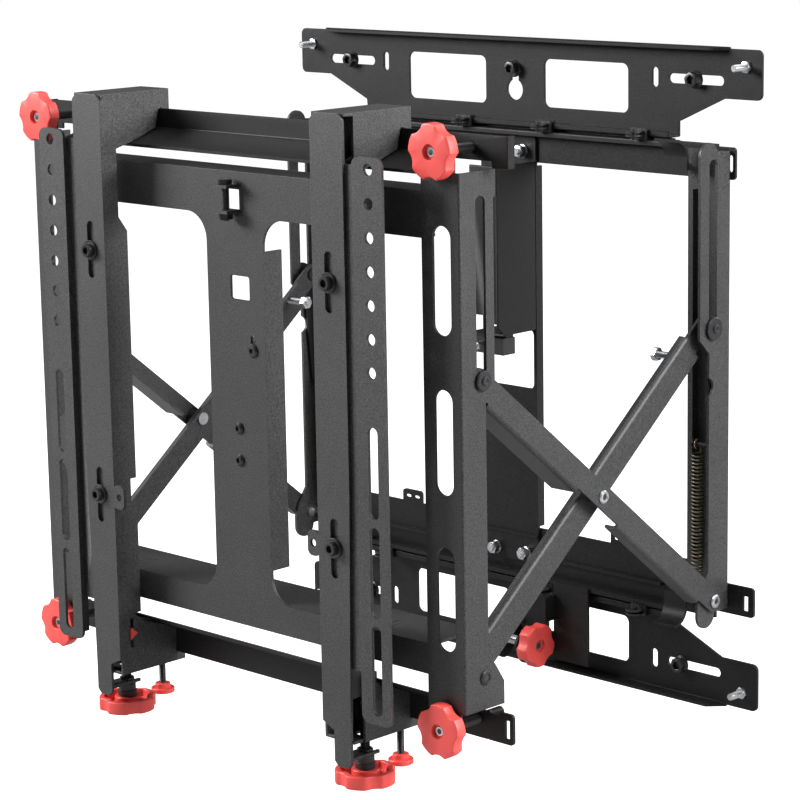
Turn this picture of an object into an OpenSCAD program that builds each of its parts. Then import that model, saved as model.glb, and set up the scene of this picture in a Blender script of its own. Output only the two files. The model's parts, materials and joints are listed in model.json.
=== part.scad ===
// Video wall mount with a scissor pop-out mechanism, in millimetres.
// X runs along the wall, Y points into the wall, Z points up.
// The wall plane is Y = 0 and the mount is drawn fully pulled out.

/* [View] */
// sub-part to show, or all of them

/* [Sheet metal] */
// thickness of every steel sheet
sheet = 2.5; // [1.5:0.1:4]
// running clearance of pins and screws in their holes, on the radius
run_gap = 0.08; // [0.02:0.01:0.1]
// gap between parts that pass each other
pass_gap = 0.5; // [0.3:0.1:1]

/* [Wall plates] */
// half of the wall plate's width
plate_half = 263.5; // [200:0.5:400]
// height of the outer edge of the plates' lip above the middle
plate_top = 274; // [230:0.5:320]
// height of the plates' inner edge above the middle
plate_inner = 199; // [150:0.5:220]
// how far the lips stand forward
lip_depth = 12; // [8:0.5:20]
// distance of the outer wall bolts from the middle
bolt_x = 197; // [150:0.5:240]
// distance of the lower plate's outer bolts from the middle
bolt_low_x = 184; // [170:0.5:220]
// height of the wall bolts
bolt_z = 246.5; // [230:0.5:260]

/* [Scissor] */
// outer face of the wall uprights' flange
wall_flange_x = 238.5; // [200:0.5:300]
// distance of the arms' lower and sliding pins from the wall
wall_pin_y = 31.6; // [25:0.1:45]
// depth from the wall pins to the front pins when pulled out
reach = 279.4; // [200:0.1:320]
// height of the lower pins, below the middle
low_pin_z = -175; // [-200:1:-150]
// height of the sliding pins when pulled out
high_pin_z = 51; // [30:1:80]
// height that the sliding pins rise to when pushed in
top_pin_z = 181; // [150:1:190]
// outer arms: from the line of the pins to the plain edge
arm_a_edge = 9; // [8:0.5:20]
// outer arms: from the line of the pins to the folded edge
arm_a_fold = 13; // [12:0.5:20]
// inner arms: from the line of the pins to the plain edge
arm_b_edge = 14.5; // [8:0.5:20]
// inner arms: from the line of the pins to the folded edge
arm_b_fold = 10; // [10:0.5:20]
// radius of the rounded ends of the arms
arm_end_r = 9; // [8:0.5:12]
// outer radius of the bends of the arms
arm_bend_r = 4; // [3:0.5:6]
// depth of the outer arms' flanges, the half at the wall
arm_flange = 12; // [8:0.5:12]
// depth of the outer arms' flanges, the half at the front
arm_flange_front = 26; // [8:0.5:28]
// depth of the inner arms' flanges
arm_flange_b = 7.5; // [6:0.5:9]
// diameter of the pins' bushes in the slots
bush_d = 10; // [8:0.1:14]

/* [Springs] */
// wire of the two counter springs
wire_d = 1.4; // [1:0.1:2]
// radius of the spring, to the middle of its wire
coil_r = 4.5; // [3:0.1:6]
// turns of each spring
turns = 33; // [20:1:45]
// height of the lowest turn
coil_low = -159; // [-165:1:-140]
// height of the highest turn
coil_high = -56; // [-80:1:-40]

/* [Front frame] */
// front face of the front uprights
front_y = -333; // [-360:0.5:-300]
// inner edge of the front uprights
upright_in = 206; // [180:0.5:220]
// half of the centre column's width
column_half = 32.5; // [20:0.5:60]
// height of the four corner knobs above and below the middle
knob_z = [220.4, -213.5];
// distance of the corner knobs from the middle
knob_x = 226; // [200:0.5:240]

/* [Display rails] */
// front face of the rails
rail_y = -300; // [-320:0.5:-280]
// half of the rails' length
rail_half = 262; // [220:0.5:300]

/* [Display arms] */
// front face of the hook brackets
arm_y = -362; // [-380:0.5:-350]
// inner face of the hook brackets
arm_in = 120.5; // [90:0.5:150]
// middle of the screws and slots of the hook brackets
arm_mid = 138; // [110:0.5:160]
// line of the display's fixing holes
hole_x = 183; // [160:0.5:220]
// pitch of the display's fixing holes
hole_pitch = 25; // [20:0.5:30]
// diameter of the display's fixing holes
hole_d = 9; // [6:0.5:12]

/* [Knobs] */
// diameter over the lobes of the star knobs
star_d = 42; // [30:1:60]
// thickness of the star knobs
star_t = 10; // [6:0.5:16]
// number of lobes of a star knob
lobes = 5; // [5:1:9]

/* [Hidden] */
$fn = 48;
fine = 64;
arm_len = sqrt(pow(reach, 2) + pow(high_pin_z - low_pin_z, 2));
arm_angle = atan2(high_pin_z - low_pin_z, reach);
wall_y = -wall_pin_y;
front_pin_y = wall_y - reach;
a_x = wall_flange_x + pass_gap;
front_flange_x = a_x + sheet + pass_gap;
b_x = wall_flange_x - 12;
link_x = wall_flange_x - sheet - 3.4;
spring_x = b_x - 9.5;
spring_y = wall_y + 8.1;
slot_w = bush_d + 0.4;
rail_gap = 2.2;
rail_edge = plate_inner - rail_gap;
adapter_y = arm_y - 2;
stud_x = plate_half - 15.5;
rail_end = plate_half + 1;
tab_y = -61;

steel_black = [0.16, 0.16, 0.17];
plastic_red = [0.88, 0.25, 0.24];
steel_bright = [0.75, 0.76, 0.78];
plastic_black = [0.08, 0.08, 0.09];
spring_brass = [0.62, 0.52, 0.38];

// Helpers: flat shapes

// rectangle by its corners, with rounded corners
module box2(x0, z0, x1, z1, r = 0) {
    if (r <= 0) {
        translate([x0, z0]) square([x1 - x0, z1 - z0]);
    } else {
        translate([x0 + r, z0]) square([x1 - x0 - 2 * r, z1 - z0]);
        translate([x0, z0 + r]) square([x1 - x0, z1 - z0 - 2 * r]);
        for (x = [x0 + r, x1 - r]) {
            for (z = [z0 + r, z1 - r]) {
                translate([x, z]) circle(r = r, $fn = 32);
            }
        }
    }
}

// upright slot with round ends, between two heights
module slot2(x, z0, z1, w) {
    translate([x - w / 2, z0 + w / 2]) square([w, z1 - z0 - w]);
    translate([x, z0 + w / 2]) circle(d = w, $fn = 32);
    translate([x, z1 - w / 2]) circle(d = w, $fn = 32);
}

// level slot with round ends, between two places along X
module wide_slot2(x0, x1, z, w) {
    translate([x0 + w / 2, z - w / 2]) square([x1 - x0 - w, w]);
    translate([x0 + w / 2, z]) circle(d = w, $fn = 32);
    translate([x1 - w / 2, z]) circle(d = w, $fn = 32);
}

// Helpers: sheets and pins

// sheet facing the room, drawn in X and Z, with its front face at y
module front_sheet(y, t = sheet) {
    translate([0, y + t, 0]) rotate([90, 0, 0]) linear_extrude(t) children();
}

// sheet facing sideways, drawn in Y and Z, from x on
module side_sheet(x, t = sheet) {
    translate([x, 0, 0]) rotate([90, 0, 90]) linear_extrude(t) children();
}

// block between two corners
module block(a, b) {
    translate(a) cube(b - a);
}

// pin along X between two places
module pin_x(x0, x1, y, z, d) {
    translate([x0, y, z]) rotate([0, 90, 0]) cylinder(h = x1 - x0, d = d, $fn = fine);
}

// pin along Y between two places
module pin_y(y0, y1, x, z, d) {
    translate([x, y0, z]) rotate([-90, 0, 0]) cylinder(h = y1 - y0, d = d, $fn = fine);
}

// pin along Z between two places
module pin_z(z0, z1, x, y, d) {
    translate([x, y, z0]) cylinder(h = z1 - z0, d = d, $fn = fine);
}

// hexagonal head along Y between two places, over its flats
module hex_y(y0, y1, x, z, af) {
    translate([x, y0, z]) rotate([-90, 0, 0]) cylinder(h = y1 - y0, d = af / cos(30), $fn = 6);
}

// the part itself or its mirror image on the left
module side_of(s) {
    if (s > 0) {
        children();
    } else {
        mirror([1, 0, 0]) children();
    }
}

// the part on both sides
module both_sides() {
    children();
    mirror([1, 0, 0]) children();
}

// the part at the top or its mirror image at the bottom
module level_of(s) {
    if (s > 0) {
        children();
    } else {
        mirror([0, 0, 1]) children();
    }
}

// Wall plates

// outline of the upper wall plate in X and Z
module plate_outline() {
    r = 5;
    tab_low = bolt_z - 14;
    tab_top = plate_top - 1.5;
    h = plate_half;
    polygon([
        [-h + r, tab_top], [h - r, tab_top], [h, tab_top - r], [h, tab_low + r],
        [h - r, tab_low], [226, tab_low], [180, plate_inner + 13], [180, plate_inner],
        [-180, plate_inner], [-180, plate_inner + 13], [-226, tab_low], [-h + r, tab_low],
        [-h, tab_low + r], [-h, tab_top - r]
    ]);
    for (x = [-h + r, h - r]) {
        for (z = [tab_low + r, tab_top - r]) {
            translate([x, z]) circle(r = r, $fn = 32);
        }
    }
    box2(-231, tab_top - 1, 231, plate_top);
}

// holes of the upper wall plate in X and Z
module plate_holes(level) {
    for (s = [-1, 1]) {
        inner = level < 0 && s < 0 ? 12 : 33.5;
        wide_slot2(min(s * (bolt_x - 28), s * (bolt_x + 28.5)),
                   max(s * (bolt_x - 28), s * (bolt_x + 28.5)), bolt_z, 8);
        slot2(s * 154.7, bolt_z - 8, bolt_z + 8.5, 6.5);
        box2(min(s * inner, s * 126), 215.6, max(s * inner, s * 126), 256.5, 6);
        translate([s * stud_x, 258.7]) circle(d = 6 + 2 * run_gap, $fn = 32);
    }
    translate([0, 229]) circle(d = 18, $fn = 48);
    slot2(0, 229, 252, 8.6);
}

module wall_plate(level) {
    color(steel_black) level_of(level) {
        front_sheet(-sheet) difference() {
            plate_outline();
            plate_holes(level);
        }
        translate([0, 0, plate_top - sheet]) linear_extrude(sheet) polygon([
            [-231, -sheet], [231, -sheet], [219, -sheet - lip_depth], [-219, -sheet - lip_depth]
        ]);
        block([-180, -sheet - 13.5, plate_inner], [180, -sheet, plate_inner + sheet]);
        block([-180, -sheet - 13.5, plate_inner + sheet], [180, -sheet - 11, plate_inner + 5]);
    }
}

// one hexagonal flange bolt at a place on the wall plates
module wall_bolt(x, z) {
    difference() {
        union() {
            pin_y(-sheet, -0.3, x, z, 7.6);
            pin_y(-sheet - 1.8, -sheet, x, z, 15);
            hex_y(-sheet - 7.5, -sheet - 1.8, x, z, 11.5);
        }
        pin_y(-sheet - 8.5, -sheet - 5, x, z, 6.4);
    }
}

module wall_bolts() {
    color(plastic_black) for (s = [-1, 1]) {
        wall_bolt(s * bolt_x, bolt_z);
        wall_bolt(0, s * (bolt_z + 0.5));
        wall_bolt(s * bolt_low_x, -bolt_z);
    }
}

module levelling_studs() {
    color(steel_bright) for (x = [-stud_x, stud_x]) {
        for (z = [-258.7, 258.7]) {
            pin_y(-19, -0.3, x, z, 6);
            difference() {
                hex_y(-sheet - 2, -sheet, x, z, 9);
                pin_y(-sheet - 4, -sheet + 1, x, z, 6);
            }
        }
    }
}

// Carriage on the wall plates

back_y = -9.5;
pad_y = back_y - sheet;

// flange of a back rail that carries the clips
module rail_edge_flange() {
    block([-180, -20, rail_edge - sheet], [180, back_y, rail_edge]);
    block([-180, -20, rail_edge - 4.3], [180, -20 + sheet, rail_edge - sheet]);
}

module back_rail_top() {
    color(steel_black) {
        front_sheet(back_y) difference() {
            union() {
                box2(-225, rail_edge - 28, 225, rail_edge);
                box2(-243, rail_edge - 28, 243, rail_edge - 2, 3);
                box2(-180, rail_edge - 1, 180, plate_inner - pass_gap);
            }
            for (x = [-238.2, 238.2]) {
                slot2(x, rail_edge - 22, rail_edge - 8, 4.5);
            }
            for (x = [-17.5, 17.5]) {
                translate([x, 178.5]) circle(d = 8, $fn = 32);
            }
        }
        rail_edge_flange();
    }
}

module back_rail_bottom() {
    color(steel_black) {
        front_sheet(back_y) difference() {
            union() {
                box2(-225, -rail_edge, 225, -152);
                box2(-rail_end, -190.5, rail_end, -165.5, 3);
                box2(-180, -plate_inner + pass_gap, 180, -rail_edge + 1);
                for (x = [-124, 124]) {
                    box2(x - 12, -155, x + 12, -141, 3);
                }
            }
            for (x = [8.2 - rail_end, rail_end - 8.2]) {
                box2(x - 2.6, -186, x + 2.6, -173);
            }
            for (x = [-124, 124]) {
                wide_slot2(x - 9, x - 1.5, -147, 3);
                wide_slot2(x + 1.5, x + 9, -147, 3);
            }
            for (x = [-17.5, 17.5]) {
                translate([x, -175.5]) circle(d = 8, $fn = 32);
            }
        }
        mirror([0, 0, 1]) rail_edge_flange();
        for (s = [-1, 1]) {
            block([min(s * 34, s * 170), back_y - 4, -178.5], [max(s * 34, s * 170), back_y, -176]);
        }
    }
}

// clip that hangs a back rail on the edge of a wall plate
module glide_clip(x, w) {
    z = rail_edge;
    lip_front = -sheet - 13.5;
    side_sheet(x - w / 2, w) difference() {
        box2(lip_front - 0.6 - 2.4, z, back_y, plate_inner + 7);
        box2(lip_front - 0.6, z + 1.7, back_y + 1, plate_inner + 5.6);
        box2(lip_front + sheet + 2, z + 1, back_y + 1, plate_inner + 8);
    }
    side_sheet(x - w / 2, w) box2(lip_front + sheet + 0.6, plate_inner + 3.2,
                                  lip_front + sheet + 2, plate_inner + 7);
    pin_z(plate_inner + 0.8, plate_inner + 2.2, x, lip_front - 8, 14);
    pin_z(plate_inner + 4, plate_inner + 5.4, x, lip_front - 8, 14);
    pin_z(z, plate_inner + 6.4, x, lip_front - 8, 5);
}

module glide_clips() {
    color(plastic_black) for (level = [1, -1]) {
        level_of(level) for (x = [-150, -46, 46, 150]) {
            glide_clip(x, 16);
        }
    }
}

module centre_spine() {
    color(steel_black) {
        front_sheet(pad_y) difference() {
            box2(-31.5, -184, 31.5, 191, 3);
            box2(-27, -28, 28, 24, 5);
            for (x = [-17.5, 17.5]) {
                translate([x, 178.5]) circle(d = 8, $fn = 32);
                translate([x, -175.5]) circle(d = 8, $fn = 32);
            }
        }
        for (x = [-31.5, 31.5 - sheet]) {
            block([x, back_y, -150], [x + sheet, -3.5, 166]);
        }
        block([-31.5, pad_y - 2, -160.5], [31.5, pad_y, -158]);
    }
}

module spine_nuts() {
    color(steel_bright) for (x = [-17.5, 17.5]) {
        for (z = [178.5, -175.5]) {
            pin_y(pad_y - 1.4, pad_y, x, z, 11.5);
            hex_y(pad_y - 7.4, pad_y - 1.4, x, z, 9.5);
            pin_y(pad_y - 9.4, pad_y - 7.4, x, z, 6);
            pin_y(pad_y, back_y + 3, x, z, 7.6);
        }
    }
}

module latch_housing() {
    color(steel_black) {
        side_sheet(31.5 - sheet) difference() {
            box2(tab_y, 27, pad_y, 170);
            translate([tab_y, 27]) rotate(45) square([9, 9], center = true);
        }
        front_sheet(tab_y) box2(0, 42, 31.5 - sheet, 170);
        block([0, tab_y + 6, 24.5], [31.5, pad_y, 27]);
    }
}

latch_x = 4;
latch_y = tab_y + 18;

module latch_block() {
    color(plastic_black) difference() {
        union() {
            block([-12, latch_y - 8, 7], [28, latch_y + 7, 21.5]);
            block([4, latch_y - 2, 21.5], [26, latch_y + 7, 24.5]);
        }
        pin_y(latch_y - 9, latch_y + 4.6, latch_x, 14, 7 + 2 * run_gap);
        for (z = [18, 10.5]) {
            pin_x(-13, -4, latch_y, z, 3.2);
        }
    }
}

module latch_screws() {
    color(steel_bright) for (z = [18, 10.5]) {
        pin_x(-12, -4.2, latch_y, z, 3.2);
        pin_x(-14.6, -12, latch_y, z, 6.4);
    }
}

module latch_plunger() {
    color(steel_bright) {
        pin_y(latch_y - 16, latch_y - 4.4, latch_x, 14, 7);
        translate([latch_x, latch_y - 16, 14]) rotate([90, 0, 0])
            cylinder(h = 2, d1 = 7, d2 = 4, $fn = fine);
    }
}

// outline of a wall upright's flange in Y and Z
module wall_flange_outline() {
    f = -48;
    polygon([
        [back_y, -186], [back_y, 192], [f + 22, 193], [f + 22, 190], [f, 190], [f, 43],
        [-36, 31], [-36, -150], [-46, -164], [-50, -176], [-50, -186], [-39, -197], [-28, -186]
    ]);
    translate([-39, -186]) circle(r = 11, $fn = 48);
    translate([f + 11, 190]) circle(r = 11, $fn = 48);
}

module wall_upright(s) {
    color(steel_black) side_of(s) {
        side_sheet(wall_flange_x - sheet) difference() {
            wall_flange_outline();
            slot2(wall_y, high_pin_z - slot_w / 2, top_pin_z + slot_w / 2 + 1, slot_w);
            translate([-38.5, 3.5]) circle(r = 8, $fn = 48);
            translate([wall_y, low_pin_z]) circle(d = 8, $fn = fine);
        }
        front_sheet(pad_y) box2(197, -186, wall_flange_x - 1, 192);
        block([206, pad_y - 8, -150], [206 + sheet, pad_y, 160]);
    }
}

// rolled guard plate in front of a rail's corner
module corner_hood() {
    cy = -42;
    cz = 186;
    r = 16;
    side_sheet(186, 23) difference() {
        translate([cy, cz]) circle(r = r, $fn = fine);
        translate([cy, cz]) circle(r = r - sheet, $fn = fine);
        box2(cy - 30, cz - 30, cy, cz + 30);
        box2(cy - 1, cz - 30, cy + 30, cz);
    }
    block([186, cy + r - sheet, 176], [209, cy + r, 186]);
    block([187, cy + r, 178], [196, back_y, 180.5]);
}

module corner_hoods() {
    color(steel_black) both_sides() {
        corner_hood();
        mirror([0, 0, 1]) corner_hood();
    }
}

// Sideways lock

lock_y = -42;
lock_z = -246;

module lock_bracket() {
    color(steel_black) {
        front_sheet(-20 - sheet) {
            box2(58, -262, 97, -rail_edge + 4.3);
            box2(16, -262, 97, -238, 3);
        }
        block([58, -36, -226], [58 + sheet, -20 - sheet, -204]);
        for (x = [16, 42]) {
            side_sheet(x) difference() {
                union() {
                    box2(lock_y - 6, lock_z - 11, -20 - sheet, lock_z + 8);
                    translate([lock_y - 6, lock_z]) circle(r = 8, $fn = 48);
                    translate([lock_y, lock_z - 8]) circle(r = 10, $fn = 48);
                }
                translate([lock_y, lock_z]) circle(d = 8 + 2 * run_gap, $fn = fine);
            }
        }
    }
}

module lock_screw() {
    color(steel_bright) {
        pin_x(13, 57.8, lock_y, lock_z, 8);
        pin_x(12.7, 15.7, lock_y, lock_z, 12);
        pin_x(45.3, 48, lock_y, lock_z, 13);
    }
}

// star knob standing on its back face, turned to face +Z
module star(d, t, bore) {
    r = d / 2;
    difference() {
        cylinder(h = t, r = r, $fn = fine);
        for (i = [0 : lobes - 1]) {
            rotate(360 / lobes * (i + 0.75)) translate([r + 9.2, 0, -1])
                cylinder(h = t + 2, r = 12, $fn = fine);
        }
        translate([0, 0, t - 3]) cylinder(h = 4, d = 11.4, $fn = 40);
        translate([0, 0, -1]) cylinder(h = t + 1, d = bore, $fn = fine);
    }
}

module lock_knob() {
    color(plastic_red) translate([48.3, lock_y, lock_z]) rotate([0, 90, 0])
        star(38, star_t + 2, 8);
}

// Scissor arms

// web of an arm lying along Y from its lower pin
module arm_web(edge, fold, hole_low, hole_mid, hole_high) {
    difference() {
        union() {
            for (y = [0, arm_len - 20]) {
                translate([y, -arm_end_r]) square([20, 2 * arm_end_r]);
            }
            translate([20, -edge]) square([arm_len - 40, edge + fold - arm_bend_r]);
            circle(r = arm_end_r, $fn = fine);
            translate([arm_len, 0]) circle(r = arm_end_r, $fn = fine);
        }
        circle(d = hole_low, $fn = fine);
        translate([arm_len / 2, 0]) circle(d = hole_mid, $fn = fine);
        translate([arm_len, 0]) circle(d = hole_high, $fn = fine);
    }
}

// folded edge of an arm over a run of its length: a round bend and the flange behind it
module arm_fold(x, fold, depth, y0, y1) {
    r = arm_bend_r;
    bend_x = x + sheet - r;
    bend_z = fold - r;
    front_sheet(y0, y1 - y0) {
        difference() {
            translate([bend_x, bend_z]) circle(r = r, $fn = fine);
            translate([bend_x, bend_z]) circle(r = r - sheet, $fn = fine);
            box2(bend_x - r - 1, bend_z - r - 1, bend_x, bend_z + r + 1);
            box2(bend_x - r - 1, bend_z - r - 1, bend_x + r + 1, bend_z);
        }
        box2(x + sheet - depth, fold - sheet, bend_x, fold);
    }
}

// pins of the arms
pivot_d = 8;
core_d = 6;

module arm_a(s) {
    color(steel_black) side_of(s) translate([0, wall_y, low_pin_z])
        rotate([180 - arm_angle, 0, 0]) {
            side_sheet(a_x)
                arm_web(arm_a_edge, arm_a_fold, pivot_d + 2 * run_gap, core_d, core_d);
            arm_fold(a_x, arm_a_fold, arm_flange, 20, arm_len / 2 - 30);
            arm_fold(a_x, arm_a_fold, arm_flange_front, arm_len / 2 + 30, arm_len - 20);
        }
}

module arm_b(s) {
    color(steel_black) side_of(s) translate([0, front_pin_y, low_pin_z])
        rotate([arm_angle, 0, 0]) {
            hole = pivot_d + 2 * run_gap;
            side_sheet(b_x) arm_web(arm_b_edge, arm_b_fold, hole, hole, core_d);
            arm_fold(b_x, arm_b_fold, arm_flange_b, 20, arm_len - 20);
        }
}

// rivets through the wall uprights and arms A, with the springs' lower posts
module wall_pivot_pins() {
    color(steel_bright) both_sides() {
        x = wall_flange_x;
        pin_x(x - sheet - 1.8, x, wall_y, low_pin_z, pivot_d);
        pin_x(x, a_x + sheet + 0.3, wall_y, low_pin_z, pivot_d);
        pin_x(a_x + sheet + 0.3, a_x + sheet + 2.6, wall_y, low_pin_z, 11);
        pin_x(spring_x - 2.6, x - sheet, spring_y, low_pin_z, 5);
        pin_x(spring_x - 4, spring_x - 2.6, spring_y, low_pin_z, 8);
    }
}

// rivets through the middle of the arms
module centre_pins() {
    y = wall_y - reach / 2;
    z = (low_pin_z + high_pin_z) / 2;
    color(steel_bright) both_sides() {
        pin_x(b_x - 0.3, b_x + sheet + 0.3, y, z, pivot_d);
        pin_x(b_x - 2.3, b_x - 0.3, y, z, 11);
        pin_x(b_x + sheet + 0.3, a_x, y, z, 13);
        pin_x(a_x, a_x + sheet, y, z, core_d);
        pin_x(a_x + sheet, a_x + sheet + 2.2, y, z, 10.5);
    }
}

// pins of arms A in the slots of the front uprights
module front_slot_pins() {
    f = front_flange_x + sheet;
    color(steel_black) both_sides() {
        pin_x(a_x - 2, a_x, front_pin_y, high_pin_z, 11);
        pin_x(a_x, a_x + sheet, front_pin_y, high_pin_z, core_d);
        pin_x(a_x + sheet, f + 0.3, front_pin_y, high_pin_z, bush_d);
        pin_x(f + 0.3, f + 3.1, front_pin_y, high_pin_z, 15.5);
        pin_x(f + 3.1, f + 4.6, front_pin_y, high_pin_z, 7);
    }
}

// pins of arms B in the slots of the wall uprights, with the arms' stop bolts
module wall_slot_pins() {
    color(steel_bright) both_sides() translate([0, front_pin_y, low_pin_z]) rotate([arm_angle, 0, 0]) {
        pin_x(b_x - 25.5, b_x, arm_len - 36, 2.8, 6);
        translate([b_x - 24.5, arm_len - 36, 2.8]) rotate([0, 90, 0])
            cylinder(h = 5, d = 10 / cos(30), $fn = 6);
    }
    color(steel_black) both_sides() {
        pin_x(b_x - 2, b_x, wall_y, high_pin_z, 11);
        pin_x(b_x, b_x + sheet, wall_y, high_pin_z, core_d);
        pin_x(b_x + sheet, wall_flange_x + 0.3, wall_y, high_pin_z, bush_d);
        pin_x(wall_flange_x + 0.3, wall_flange_x + 3.1, wall_y, high_pin_z, 19);
        pin_x(wall_flange_x + 3.1, wall_flange_x + 4.6, wall_y, high_pin_z, 7);
    }
}

// rivets through arms B and the front uprights
module front_pivot_pins() {
    f = front_flange_x + sheet;
    color(steel_bright) both_sides() {
        pin_x(b_x - 2.3, b_x - 0.3, front_pin_y, low_pin_z, 12);
        pin_x(b_x - 0.3, b_x + sheet + 0.3, front_pin_y, low_pin_z, pivot_d);
        pin_x(b_x + sheet + 0.3, front_flange_x, front_pin_y, low_pin_z, 16);
        pin_x(front_flange_x, f, front_pin_y, low_pin_z, pivot_d);
        pin_x(f, f + 2.2, front_pin_y, low_pin_z, 11.5);
    }
}

// Springs and their links

hook_r = 3.9;
link_low = coil_high + 8;

module spring_links() {
    color(steel_black) both_sides() {
        side_sheet(link_x, 2) difference() {
            union() {
                translate([wall_y, high_pin_z]) circle(r = 8, $fn = fine);
                polygon([
                    [wall_y - 4.5, high_pin_z], [wall_y + 4.5, high_pin_z],
                    [spring_y + 4.5, link_low], [spring_y - 4.5, link_low]
                ]);
                translate([spring_y, link_low]) circle(r = 4.5, $fn = fine);
            }
            translate([wall_y, high_pin_z]) circle(d = bush_d + 2 * run_gap, $fn = fine);
        }
        pin_x(spring_x - 2.6, link_x, spring_y, link_low, 5);
        pin_x(spring_x - 4, spring_x - 2.6, spring_y, link_low, 8);
    }
}

// points of a hook and of the turns of a spring's wire, in X, Y and Z
function hook_points(z, up) = [
    for (i = [0 : 9]) let (a = up * (290 - 29 * i))
        [0, hook_r * cos(a), z - hook_r * sin(a)]
];
function coil_points() = [
    for (i = [0 : 8 * turns]) let (a = 45 * i)
        [coil_r * sin(a), coil_r * cos(a),
         coil_low + (coil_high - coil_low) * i / (8 * turns)]
];
function reversed(p) = [for (i = [len(p) - 1 : -1 : 0]) p[i]];
spring_path = concat(
    hook_points(low_pin_z, 1),
    [[0, hook_r, low_pin_z + 5], [0, coil_r, coil_low - 3.5]],
    coil_points(),
    [[0, coil_r, coil_high + 2]]
);
eye_path = concat(
    [[0, coil_r, coil_high + 2.2], [0, coil_r, coil_high + 3.5], [0, hook_r, link_low - 4]],
    reversed(hook_points(link_low, -1))
);

// direction of a path at one of its points
function unit(v) = v / norm(v);
function run_of(p, i) = unit(p[min(i + 1, len(p) - 1)] - p[max(i - 1, 0)]);

// least gap between turns, from points at least half a turn apart
function least_gap(p, d) = min([
    for (i = [0 : 4 : len(p) - 7]) for (j = [i + 5 : 1 : min(i + 14, len(p) - 1)])
        norm(p[i] - p[j]) - d
]);

// one unbroken tube along a path, with six sides
module tube(p, d) {
    frames = tube_frames(p);
    n = len(p);
    pts = [for (i = [0 : n - 1]) let (t = run_of(p, i), u = frames[i], v = cross(t, u))
        for (k = [0 : 5]) p[i] + d / 2 * (cos(60 * k) * u + sin(60 * k) * v)];
    sides = [for (i = [0 : n - 2]) for (k = [0 : 5]) for (half = [0, 1])
        half == 0 ? [6 * i + k, 6 * i + (k + 1) % 6, 6 * i + 6 + k]
                  : [6 * i + (k + 1) % 6, 6 * i + 6 + (k + 1) % 6, 6 * i + 6 + k]];
    caps = [for (k = [1 : 4]) for (half = [0, 1])
        half == 0 ? [0, k + 1, k] : [6 * n - 6, 6 * n - 6 + k, 6 * n - 6 + k + 1]];
    polyhedron(points = pts, faces = concat(sides, caps), convexity = 10);
}

// frame of each ring, carried along the path one step at a time
function tube_frames(p) = [
    for (i = 0, u = unit(cross(run_of(p, 0), [1, 0, 0]));
         i < len(p);
         i = i + 1, u = i < len(p) ? unit(u - (u * run_of(p, i)) * run_of(p, i)) : u) u
];

module springs() {
    echo("least gap of a spring to itself", least_gap(coil_points(), wire_d));
    color(spring_brass) both_sides() translate([spring_x, spring_y, 0]) tube(spring_path, wire_d);
}

// upper hooks of the springs, which go up with the links
module spring_eyes() {
    color(spring_brass) both_sides() translate([spring_x, spring_y, 0]) tube(eye_path, wire_d);
}

// Front frame

// outline of a front upright's flange in Y and Z
module front_flange_outline() {
    b = front_y;
    polygon([
        [b, -200], [-290, -200], [-290, -182], [-299, -168], [-307, -158], [-307, 38],
        [-297, 46], [-297, 185], [-294.7, 185], [-294.7, 205], [b, 205]
    ]);
}

module front_upright(s) {
    color(steel_black) side_of(s) {
        side_sheet(front_flange_x) difference() {
            front_flange_outline();
            slot2(front_pin_y, high_pin_z - slot_w / 2, top_pin_z + slot_w / 2 + 1, slot_w);
            translate([front_pin_y, low_pin_z]) circle(d = pivot_d + 2 * run_gap, $fn = fine);
        }
        front_sheet(front_y) difference() {
            union() {
                box2(upright_in, -200, front_flange_x, 205);
                for (z = knob_z) {
                    translate([knob_x, z]) circle(r = 13, $fn = fine);
                    box2(knob_x - 13, min(z, sign(z) * 198), knob_x + 13, max(z, sign(z) * 198));
                }
            }
            for (z = [[85, 166], [-34.5, 45], [-154, -74]]) {
                slot2(knob_x, z[0], z[1], 18);
            }
            for (z = knob_z) {
                translate([knob_x, z]) circle(d = 8 + 2 * run_gap, $fn = fine);
            }
        }
    }
}

frame_y = front_y + sheet;
bar_half = front_flange_x - 32.5;

// fillet in the corner between the column and a bar
module corner_fillet(x, z, sx, sz, r) {
    difference() {
        box2(min(x, x + sx * r), min(z, z + sz * r), max(x, x + sx * r), max(z, z + sz * r));
        translate([x + sx * r, z + sz * r]) circle(r = r, $fn = 48);
    }
}

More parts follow.
